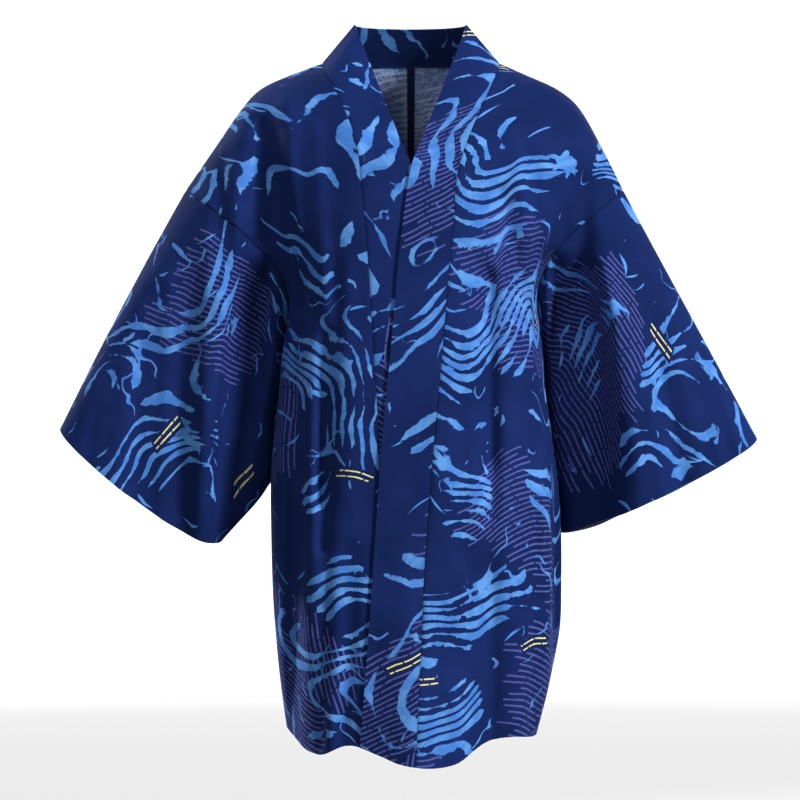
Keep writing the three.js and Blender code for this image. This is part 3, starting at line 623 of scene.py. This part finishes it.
# ---------------------------------------------------------------------------------------------------
# Materials: a printed plain weave, drawn in the coordinates of the flat cloth, in metres
# ---------------------------------------------------------------------------------------------------

WARP_PITCH, WEFT_PITCH = 0.00062, 0.00068
SLOPE_GAP = 0.004  # how far apart the slope of the currents' field is taken
FIELD_SQUASH = 1.15
CONTOURS = 17.0
LEAVES = ((0.078, 3.0, 0.40), (0.097, 211.0, 0.38))  # grid size, seed and chance of each layer
LEAF_REACH = 0.0165
STRIPE_PITCH, DASH_LENGTH = 0.0066, 0.034
# layers of striped patches: angle, which share of the random cells it fills, and seed
PAIRED_STRIPES = (0.20, 0.0, 0.14, 7.0)
PLACED_STRIPES = (-0.26, 0.14, 0.21, 19.0)
UPRIGHT_STRIPES = (1.42, 0.92, 1.0, 43.0)
CELLS_PER_METRE, CELL_RANDOMNESS = 7.4, 0.85
PLACED = (1.436, 1.395, 0.062)  # one patch of stripes put where the back neck shows: middle and reach
PAIR_SPACING, PAIR_ROWS, PAIR_REACH = 0.185, 30.0, 0.021


def colour(r, g, b):
    """A material colour from its screen values."""
    linear = (((c / 255 + 0.055) / 1.055) ** 2.4 if c > 10 else c / 255 / 12.92 for c in (r, g, b))
    return (*linear, 1.0)


NAVY, LIGHT_NAVY = colour(25, 44, 93), colour(33, 53, 108)
BLUE, LIGHT_BLUE = colour(79, 129, 195), colour(104, 154, 209)
MAUVE, LEAF_BLUE, CREAM = colour(91, 97, 158), colour(92, 150, 214), colour(224, 216, 154)
WRONG_SIDE, PALE_WRONG_SIDE = colour(120, 146, 196), colour(200, 222, 254)
PALE_MAUVE, PALE_CREAM, STITCHES = colour(206, 206, 214), colour(236, 228, 170), colour(190, 198, 216)
SEAM_NAVY = colour(20, 24, 62)


class Value:
    """A number in a node tree, with arithmetic."""

    def __init__(self, net, socket):
        self.net, self.socket = net, socket

    def do(self, operation, *others):
        return self.net.math(operation, self, *others)

    def __add__(self, other):
        return self.do("ADD", other)

    __radd__ = __add__

    def __sub__(self, other):
        return self.do("SUBTRACT", other)

    def __rsub__(self, other):
        return self.net.math("SUBTRACT", other, self)

    def __mul__(self, other):
        return self.do("MULTIPLY", other)

    __rmul__ = __mul__

    def __truediv__(self, other):
        return self.do("DIVIDE", other)

    def __lt__(self, other):
        return self.do("LESS_THAN", other)

    def __gt__(self, other):
        return self.do("GREATER_THAN", other)


class Net:
    """Short names for the nodes that the cloth is drawn with."""

    def __init__(self, tree):
        self.tree = tree

    def add(self, kind, **settings):
        node = self.tree.nodes.new(kind)
        for name, value in settings.items():
            setattr(node, name, value)
        return node

    def put(self, socket, value):
        if isinstance(value, Value):
            self.tree.links.new(value.socket, socket)
        elif hasattr(value, "is_output"):
            self.tree.links.new(value, socket)
        else:
            socket.default_value = value

    def math(self, operation, *values):
        node = self.add("ShaderNodeMath", operation=operation)
        for socket, value in zip(node.inputs, values):
            self.put(socket, value)
        return Value(self, node.outputs[0])

    def number(self, value):
        return self.math("ADD", value, 0.0)

    def attribute(self, name):
        return Value(self, self.add("ShaderNodeAttribute", attribute_name=name).outputs["Fac"])

    def xy(self, vector):
        node = self.add("ShaderNodeSeparateXYZ")
        self.put(node.inputs[0], vector)
        return Value(self, node.outputs[0]), Value(self, node.outputs[1])

    def vector(self, x, y):
        node = self.add("ShaderNodeCombineXYZ")
        self.put(node.inputs[0], x)
        self.put(node.inputs[1], y)
        return node.outputs[0]

    def noise(self, x, y, scale, detail=2.0, rough=0.5, distortion=0.0, offset=(0, 0)):
        node = self.add("ShaderNodeTexNoise", noise_dimensions="2D")
        self.put(node.inputs["Vector"], self.vector(x + offset[0], y + offset[1]))
        node.inputs["Scale"].default_value = scale
        node.inputs["Detail"].default_value = detail
        node.inputs["Roughness"].default_value = rough
        node.inputs["Distortion"].default_value = distortion
        return Value(self, node.outputs[0])

    def random(self, x, y):
        node = self.add("ShaderNodeTexWhiteNoise", noise_dimensions="2D")
        self.put(node.inputs["Vector"], self.vector(x, y))
        return Value(self, node.outputs[0])

    def step(self, value, low, high):
        node = self.add("ShaderNodeMapRange", interpolation_type="SMOOTHSTEP")
        self.put(node.inputs["Value"], value)
        self.put(node.inputs["From Min"], low)
        self.put(node.inputs["From Max"], high)
        return Value(self, node.outputs[0])

    def blend(self, share, first, second, how="MIX"):
        node = self.add("ShaderNodeMix", data_type="RGBA", blend_type=how)
        self.put(node.inputs["Factor"], share)
        self.put(node.inputs["A"], first)
        self.put(node.inputs["B"], second)
        return node.outputs["Result"]


def fract(value):
    return value.do("FRACT")


def floor(value):
    return value.do("FLOOR")


def absolute(value):
    return value.do("ABSOLUTE")


def least(value, *others):
    for other in others:
        value = value.do("MINIMUM", other)
    return value


def most(value, *others):
    for other in others:
        value = value.do("MAXIMUM", other)
    return value


def turned(x, y, angle):
    cos, sin = angle.do("COSINE"), angle.do("SINE")
    return x * cos + y * sin, y * cos - x * sin


def scattered(net, x, y, size, seed, chance):
    """A point in each square of a grid: the place from it, two random numbers, and whether it counts."""
    i, j = floor(x / size), floor(y / size)
    first, second = net.random(i + seed, j), net.random(i + seed + 31.0, j)
    third, fourth = net.random(i + seed + 57.0, j), net.random(i + seed + 83.0, j)
    px = x - (i + 0.5 + (first - 0.5) * 0.5) * size
    py = y - (j + 0.5 + (second - 0.5) * 0.5) * size
    return px, py, third, fourth, net.random(i + seed + 107.0, j) < chance


def wandering(net, x, y, scale, reach, rough, first, second):
    """The place, moved about smoothly by up to half of reach, so that what is drawn there wanders."""
    dx = (net.noise(x, y, scale, rough=rough, offset=first) - 0.5) * reach
    dy = (net.noise(x, y, scale, rough=rough, offset=second) - 0.5) * reach
    return x + dx, y + dy


def current_strokes(net, x, y, ragged, where):
    """Brushed lines side by side along the contours of a hilly field, which swell and run dry."""
    wx, wy = wandering(net, x, y, 5.5, 0.085, 0.5, (0, 0), (5.2, 1.7))
    wx, wy = wx + ragged * 0.0030, (wy + ragged * 0.0022) * FIELD_SQUASH
    height = net.noise(wx, wy, 4.4, detail=0.6, rough=0.4)
    over = net.noise(wx + SLOPE_GAP, wy, 4.4, detail=0.6, rough=0.4) - height
    up = net.noise(wx, wy + SLOPE_GAP * FIELD_SQUASH, 4.4, detail=0.6, rough=0.4) - height
    steep = (over * over + up * up).do("SQRT") * (1 / SLOPE_GAP)
    swell = net.noise(x, y, 13, detail=1.6, rough=0.6, offset=(2.0, 7.0)) - 0.5
    torn = net.noise(x, y, 46, rough=0.7, offset=(4.0, 9.0)) - 0.5
    width = swell * 0.024 + 0.0036 + ragged * 0.0036 + torn * 0.0060
    tapered = (where - 0.478) * 0.20 + ragged * 0.0016
    width = least(width, tapered, (steep - 0.60) * 0.011, 0.0064)
    from_line = absolute(fract(height * CONTOURS) - 0.5) * 2.0
    return net.step(least(width * steep * (2 * CONTOURS), 0.70) - from_line, 0.0, 0.07)


def forked_strokes(net, x, y, fx, fy, ragged):
    """Branching strokes between the currents."""
    ridge = absolute(net.noise(fx, fy * 1.3, 9.5, detail=1.0, distortion=0.2, offset=(3.7, 6.1)) - 0.5)
    load = net.noise(x, y, 19, detail=1.0, offset=(7.7, 1.1)) - 0.48
    there = net.noise(x, y, 6.3, detail=1.0, offset=(0.6, 5.9)) + ragged * 0.06
    forks = net.step(least(load * 0.17, 0.013) + ragged * 0.010 - ridge, 0.0, 0.005)
    return forks * net.step(there, 0.515, 0.525)


def leaf_strokes(net, x, y, ragged):
    """Small bent strokes, scattered singly."""
    layers = []
    for size, seed, chance in LEAVES:
        px, py, turn, bend, on = scattered(net, x, y, size, seed, chance)
        lx, ly = turned(px, py, (turn - 0.5) * 2.4)
        off = absolute(ly + lx * lx * (bend - 0.5) * 46.0)
        reach = lx / LEAF_REACH
        width = (1.0 - reach * reach) * (0.0013 + 0.0010 * bend) * most(1.0 - reach * 0.45, 0.3)
        layers.append(net.step(width + ragged * 0.0006 - off, 0.0, 0.0005) * on)
    return most(*layers)


def striped_patches(net, x, y, edge, layer):
    """Broken stripes in many-sided patches: each dash is whole, so the patches have ragged ends."""
    angle, low, high, seed = layer
    sx, sy = turned(x, y, net.number(angle))
    wavy = (net.noise(sx, sy, 9, detail=1.0, offset=(6.0 + seed, 2.0)) - 0.5) * 0.016
    row = (sy + wavy) / STRIPE_PITCH
    shift = net.random(floor(row), seed) * 5.0
    along = sx / DASH_LENGTH + shift
    start = (floor(along) + 0.5 - shift) * DASH_LENGTH
    qx, qy = turned(start, floor(row) * STRIPE_PITCH, net.number(-angle))
    cells = net.add("ShaderNodeTexVoronoi", voronoi_dimensions="2D", feature="F1")
    net.put(cells.inputs["Vector"], net.vector(qx, qy * 0.8))
    cells.inputs["Scale"].default_value = CELLS_PER_METRE
    cells.inputs["Randomness"].default_value = CELL_RANDOMNESS
    cell = net.xy(cells.outputs["Color"])[0]
    in_patch = (cell > low) * (cell < high)
    if layer is PLACED_STRIPES:
        dx, dy = qx - PLACED[0], qy - PLACED[1]
        in_patch = most(in_patch, dx * dx + dy * dy < PLACED[2] ** 2)
    line = net.step(0.19 + edge - absolute(fract(row) - 0.5), 0.0, 0.06)
    return line * net.step(fract(along), 0.05, 0.075) * in_patch, sx, row


def dash_pairs(net, sx, row, edge):
    """Pairs of pale dashes in step with the stripes, and the plain ground round each pair."""
    i, j = floor(sx / PAIR_SPACING), floor(row / PAIR_ROWS)
    middle = (i + 0.2 + net.random(i + 11.0, j) * 0.6) * PAIR_SPACING
    first = j * PAIR_ROWS + 5.0 + floor(net.random(i + 23.0, j) * 20.0)
    slant = sx - middle + (row - first) * 0.004
    on = net.random(i + 37.0, j) < 0.62
    pair = (row > first) * (row < first + 2.0) * (absolute(slant) < PAIR_REACH) * on
    unbroken = absolute(fract(slant / PAIR_REACH + net.random(floor(row), 3.0)) - 0.5) > 0.045
    dashes = net.step(0.165 + edge - absolute(fract(row) - 0.5), 0.0, 0.05) * pair * unbroken
    around = (row > first - 0.25) * (row < first + 2.25) * (absolute(slant) < PAIR_REACH + 0.0025) * on
    return dashes, 1.0 - around


def print_masks(net, x, y):
    """Where each colour of the print lies."""
    ragged = net.noise(x, y, 95, rough=0.65) - 0.5
    where = net.noise(x, y, 5.2, detail=1.2, distortion=0.4, offset=(9.1, 3.3))
    fx, fy = wandering(net, x, y, 17, 0.055, 0.6, (1.5, 0.2), (4.4, 8.1))
    splash = net.noise(fx * 0.8, fy * 1.5, 20, detail=2.4, rough=0.6, distortion=0.6, offset=(8.3, 2.6))
    bright = most(
        current_strokes(net, x, y, ragged, where), forked_strokes(net, x, y, fx, fy, ragged),
        net.step(splash + ragged * 0.05, 0.712, 0.720))
    leaves = leaf_strokes(net, x, y, ragged) * (1.0 - net.step(where, 0.49, 0.51))
    edge = (net.noise(x, y, 240, detail=1.0) - 0.5) * 0.12
    paired, sx, row = striped_patches(net, x, y, edge, PAIRED_STRIPES)
    placed = striped_patches(net, x, y, edge, PLACED_STRIPES)[0]
    upright = striped_patches(net, x, y, edge, UPRIGHT_STRIPES)[0]
    dashes, clear = dash_pairs(net, sx, row, edge)
    return bright * clear, leaves * clear, most(paired, placed, upright) * clear, dashes


def woven(net, x, y):
    """Threads of a plain weave, from 0 between them to 0.5 on them."""
    return most(absolute(fract(x / WARP_PITCH) - 0.5), absolute(fract(y / WEFT_PITCH) - 0.5))


def new_material(name):
    """An empty material, its net, and the place in the flat cloth."""
    material = bpy.data.materials.new(name)
    material.use_nodes = True
    material.node_tree.nodes.clear()
    net = Net(material.node_tree)
    place = net.add("ShaderNodeUVMap", uv_map="flat_cut").outputs[0]
    return material, net, *net.xy(place)


def matt_cotton(net, tint, roughness, relief, bumpiness, specular, sheen=0.0):
    bump = net.add("ShaderNodeBump")
    bump.inputs["Strength"].default_value = bumpiness
    bump.inputs["Distance"].default_value = 1.0
    net.put(bump.inputs["Height"], relief)
    shader = net.add("ShaderNodeBsdfPrincipled")
    net.put(shader.inputs["Base Color"], tint)
    net.put(shader.inputs["Roughness"], roughness)
    shader.inputs["Specular IOR Level"].default_value = specular
    shader.inputs["Sheen Weight"].default_value = sheen
    shader.inputs["Sheen Roughness"].default_value = 0.45
    net.put(shader.inputs["Normal"], bump.outputs[0])
    net.put(net.add("ShaderNodeOutputMaterial").inputs["Surface"], shader.outputs[0])


def wrong_side(net, x, y, printed, stripes, dashes, near_seam):
    """The print as it shows through to the paler wrong side, with stitches near the seams."""
    across = net.noise(x * 0.22, y, 330.0, rough=0.7)
    along = net.noise(x, y * 0.22, 330.0, rough=0.7)
    pale = net.blend(net.step((across + along) * 0.5, 0.35, 0.65), WRONG_SIDE, PALE_WRONG_SIDE)
    broken = net.step(net.noise(x, y, 260, detail=1.0), 0.44, 0.52)
    result = net.blend(0.44, pale, printed)
    result = net.blend(stripes * 0.40, result, PALE_MAUVE)
    result = net.blend(dashes * 0.7, result, PALE_CREAM)
    return net.blend(net.step(near_seam, 0.12, 0.4) * broken * 0.8, result, STITCHES)


def printed_cotton(name, right_side):
    material, net, x, y = new_material(name)
    bright, leaves, stripes, dashes = print_masks(net, x, y)
    near_seam = net.attribute("near_seam")
    cloudy = net.noise(x, y, 5.0, detail=3.0, rough=0.6, offset=(11.0, 4.0))
    inked = net.noise(x, y, 38, detail=3.0, rough=0.6)
    fine = net.noise(x, y, 420.0, rough=0.7)
    tint = net.blend(net.step(cloudy, 0.3, 0.7), NAVY, LIGHT_NAVY)
    tint = net.blend(stripes, tint, MAUVE)
    tint = net.blend(leaves, tint, LEAF_BLUE)
    tint = net.blend(bright, tint, net.blend(net.step(inked, 0.35, 0.7), BLUE, LIGHT_BLUE))
    tint = net.blend(dashes, tint, CREAM)
    if not right_side:
        tint = wrong_side(net, x, y, tint, stripes, dashes, near_seam)
    threads = woven(net, x, y)
    # Besides the weave and a random mottle, shade darkens the colour by up to 30 % along the sewn seams:
    # painted shade of the seam grooves
    shade = (threads * 0.16 + 0.90 + (fine - 0.5) * 0.22) * (1.0 - near_seam * 0.30)
    grey = net.add("ShaderNodeCombineColor")
    for socket in grey.inputs[:3]:
        net.put(socket, shade)
    slubs = net.noise(x * 0.12, y, 900.0, detail=1.0)
    crumpled = net.noise(x, y, 34.0, detail=3.0, rough=0.55)
    relief = threads * 0.00012 + slubs * 0.00008 + crumpled * 0.0009
    tint = net.blend(1.0, tint, grey.outputs[0], how="MULTIPLY")
    matt_cotton(net, tint, 0.74 + fine * 0.16, relief, bumpiness=0.55, specular=0.08, sheen=0.02)
    return material


def plain_cotton(name, tint):
    material, net, x, y = new_material(name)
    fine = net.noise(x, y, 420.0, rough=0.7)
    lighter = tuple(min(1.0, c * 1.5) for c in tint[:3]) + (1.0,)
    mottled = net.blend(net.step(fine, 0.3, 0.7), tint, lighter)
    relief = woven(net, x, y) * 0.00014
    matt_cotton(net, mottled, 0.8 + fine * 0.1, relief, bumpiness=0.5, specular=0.25)
    return material


# ---------------------------------------------------------------------------------------------------
# The jacket
# ---------------------------------------------------------------------------------------------------

outside = printed_cotton("printed_cotton", right_side=True)
inside = printed_cotton("printed_cotton_wrong_side", right_side=False)
seam_cotton = plain_cotton("seam_cotton", SEAM_NAVY)

# slot, materials of the outer face and the other, thickness, thickness in the hem
PANEL = ("printed_cotton", (outside, inside), CLOTH, HEM_CLOTH)
BAND_MAKE = ("band_cotton", (outside, outside), BAND_CLOTH, BAND_CLOTH)
STRIP_MAKE = ("seam_cotton", (seam_cotton, seam_cotton), STRIP_CLOTH, STRIP_CLOTH)
BODIES = ["body_right_cloth", "body_left_cloth"]

# node: sheets, make, where in the print it is cut, and, of what shows of it as it was cut, the width
# and length in metres and the area, and what it rests on
PIECES = {
    "body_right": (body_sheets(-1), PANEL, (0.0, 0.0), (0.36, 1.70), 0.345, []),
    "body_left": (body_sheets(1), PANEL, (1.37, 0.52), (0.36, 1.72), 0.361, []),
    "sleeve_right": (sleeve_sheets(-1), PANEL, (3.1, 0.9), (0.36, 0.63), 0.186, BODIES[:1]),
    "sleeve_left": (sleeve_sheets(1), PANEL, (4.4, 2.3), (0.345, 0.61), 0.170, BODIES[1:]),
    "neck_band": (band_sheets(), BAND_MAKE, (6.2, 1.1), (0.062, 2.02), None, BODIES),
    "back_seam_strip": (strip_sheets(), STRIP_MAKE, (8.0, 0.0), (0.01, 0.79), None, BODIES),
}
shared = shared_normals(sheets for sheets, *_ in PIECES.values())
for node, (sheets, make, corner, flat, area, rests_on) in PIECES.items():
    piece = build_piece(node, sheets, *make, corner, shared)

# ---------------------------------------------------------------------------------------------------
# Floor, light and camera
# ---------------------------------------------------------------------------------------------------

FLOOR, FLOOR_REACH, WALL_CURVE, WALL_TOP = -1.42, 6.0, 1.6, 3.0
FLOOR_WHITE = (0.88, 0.88, 0.88, 1)
CAMERA_DISTANCE, FRAME_WIDTH = 3.5, 0.96
CAMERA_X, CAMERA_Z = -0.0132, -0.4056
SENSOR = 36


def backdrop():
    """A pale round floor that turns up into a low wall far off, on every side."""
    profile = [(3.0, 0.0), (5.0, 0.0), (FLOOR_REACH, 0.0)]
    for a in np.linspace(0, math.pi / 2, 14)[1:]:
        profile.append((FLOOR_REACH + WALL_CURVE * math.sin(a), WALL_CURVE * (1 - math.cos(a))))
    profile.append((FLOOR_REACH + WALL_CURVE, WALL_TOP))
    turns = np.linspace(0, 2 * math.pi, 97)[:-1]
    verts = [(r * math.cos(t), r * math.sin(t), z + FLOOR) for t in turns for r, z in profile]
    verts.append((0.0, 0.0, FLOOR))
    n, count = len(profile), len(turns)
    faces = [(len(verts) - 1, i * n, (i + 1) % count * n) for i in range(count)]
    faces += [(i * n + k, i * n + k + 1, (i + 1) % count * n + k + 1, (i + 1) % count * n + k)
              for i in range(count) for k in range(n - 1)]
    mesh = bpy.data.meshes.new("floor")
    mesh.from_pydata(verts, [], faces)
    mesh.polygons.foreach_set("use_smooth", [True] * len(faces))
    obj = bpy.data.objects.new("floor", mesh)
    bpy.context.scene.collection.objects.link(obj)
    material = bpy.data.materials.new("floor")
    material.use_nodes = True
    shader = material.node_tree.nodes["Principled BSDF"]
    shader.inputs["Base Color"].default_value = FLOOR_WHITE
    shader.inputs["Roughness"].default_value = 0.9
    shader.inputs["Specular IOR Level"].default_value = 0.1
    mesh.materials.append(material)
    obj.visible_diffuse = False  # its white doesn't fill the folds' shadows


def sun(name, direction, strength, softness):
    """A far, soft light from a direction; strength 1 shows a white card at full white."""
    light = bpy.data.lights.new(name, "SUN")
    light.energy = strength * math.pi
    light.angle = math.radians(softness)
    obj = bpy.data.objects.new(name, light)
    bpy.context.scene.collection.objects.link(obj)
    obj.rotation_euler = Vector(direction).to_track_quat("Z", "Y").to_euler()


backdrop()
sun("key", (0.80, -0.62, 0.52), 1.40, 11)
sun("fill", (-0.40, -0.92, 0.40), 0.42, 28)
sun("back_key", (-0.80, 0.62, 0.52), 1.25, 11)
sun("back_fill", (0.40, 0.92, 0.40), 0.38, 28)

world = bpy.data.worlds.new("world")
world.use_nodes = True
world.node_tree.nodes["Background"].inputs[0].default_value = (1, 1, 1, 1)
world.node_tree.nodes["Background"].inputs[1].default_value = 0.20
bpy.context.scene.world = world
bpy.context.scene.view_settings.view_transform = "Standard"
bpy.context.scene.view_settings.gamma = 0.82

camera = bpy.data.cameras.new("camera")
camera.sensor_width = SENSOR
camera.lens = SENSOR * CAMERA_DISTANCE / FRAME_WIDTH
viewer = bpy.data.objects.new("camera", camera)
viewer.location = (CAMERA_X, -CAMERA_DISTANCE, CAMERA_Z)
viewer.rotation_euler = (math.pi / 2, 0, 0)
bpy.context.scene.collection.objects.link(viewer)
bpy.context.scene.camera = viewer
